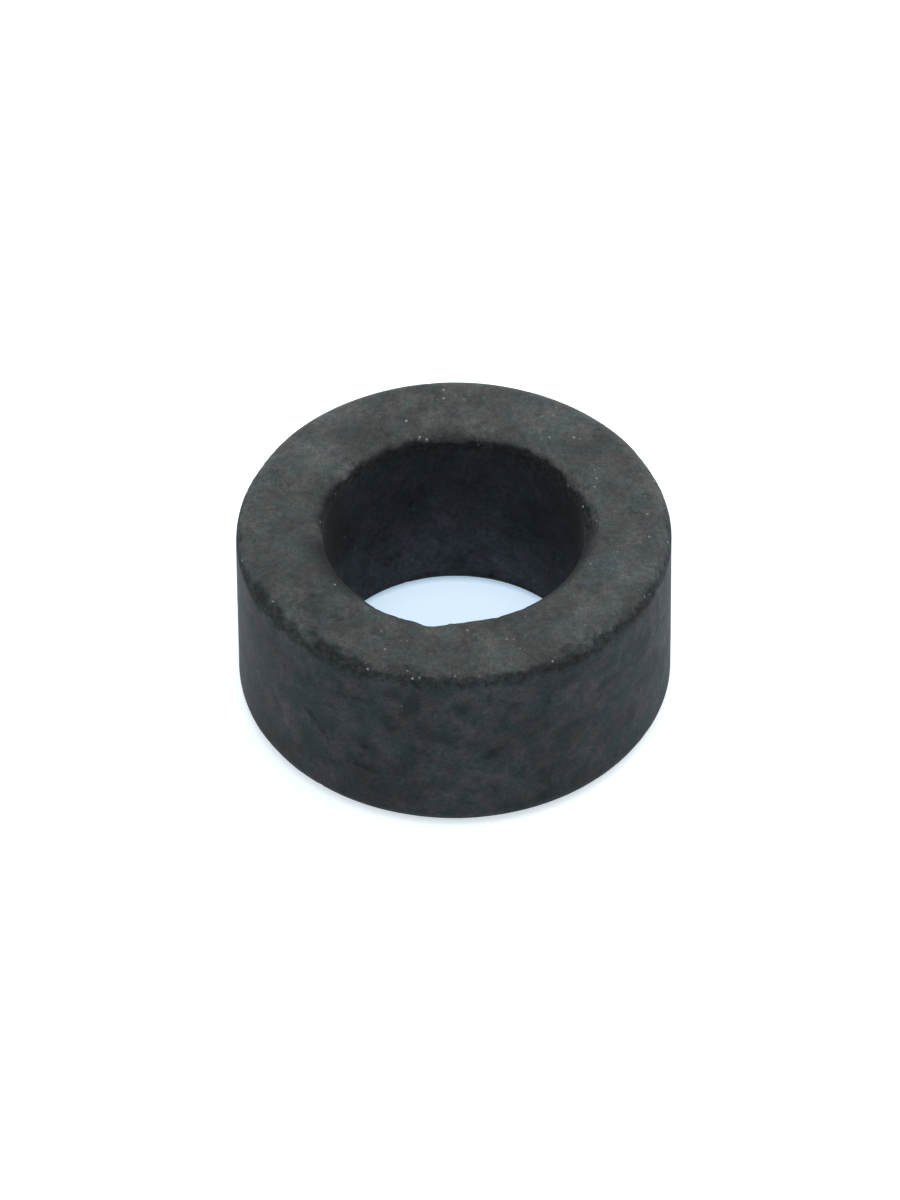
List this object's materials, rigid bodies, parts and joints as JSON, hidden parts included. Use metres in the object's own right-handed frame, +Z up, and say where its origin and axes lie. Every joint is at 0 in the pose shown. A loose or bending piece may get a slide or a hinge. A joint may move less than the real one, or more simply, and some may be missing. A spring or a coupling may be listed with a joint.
{
  "type": "ferrite toroid core",
  "caption": "Small bare ferrite ring for winding a choke or transformer on, with worn round edges and a plain bore.",
  "frame": {"origin": "on the ring's axis, in the plane of the flat face that it stands on", "axes": "+Z up the ring's axis; -Y towards the side with the chipped edges, which the picture shows in front"},
  "size_m": [0.01, 0.01, 0.0048],
  "materials": {
    "ferrite": "bare sintered ferrite, matt dark grey, uncoated"
  },
  "bodies": {
    "root": {"toroid_core": "ferrite"}
  },
  "joints": []
}
